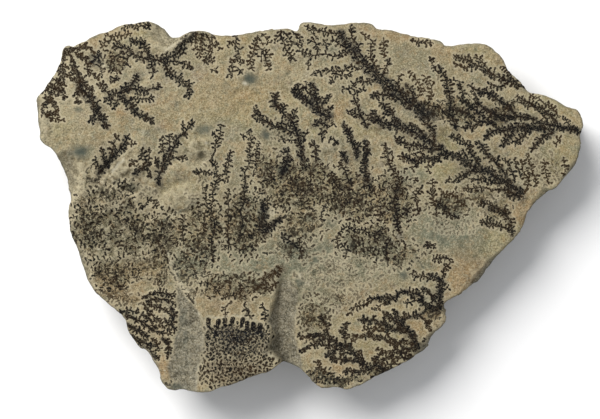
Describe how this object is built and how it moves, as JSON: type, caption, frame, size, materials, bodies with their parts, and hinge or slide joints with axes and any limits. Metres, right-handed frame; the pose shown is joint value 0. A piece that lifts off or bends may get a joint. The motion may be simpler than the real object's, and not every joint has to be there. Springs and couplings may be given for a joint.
{
  "type": "psilomelane specimen",
  "caption": "Broken slab of pale rock, flat on its back, with a face covered in black and brown oxide dendrites; a mineral specimen for display or study.",
  "frame": {"origin": "middle of the slab's outline, on the plane that the flat of its back rests on", "axes": "+X along the slab's long way, towards its pointed end; +Y across it, towards its long straight edge; +Z out of the dendrite face"},
  "size_m": [0.1088, 0.0734, 0.0151],
  "materials": {
    "dendrite_rock": "matt pale tan to grey-green fine-grained rock; thin black and dark brown oxide film on the face, in fern-like branching growths"
  },
  "bodies": {
    "root": {"dendrite_slab": "dendrite_rock"}
  },
  "joints": []
}
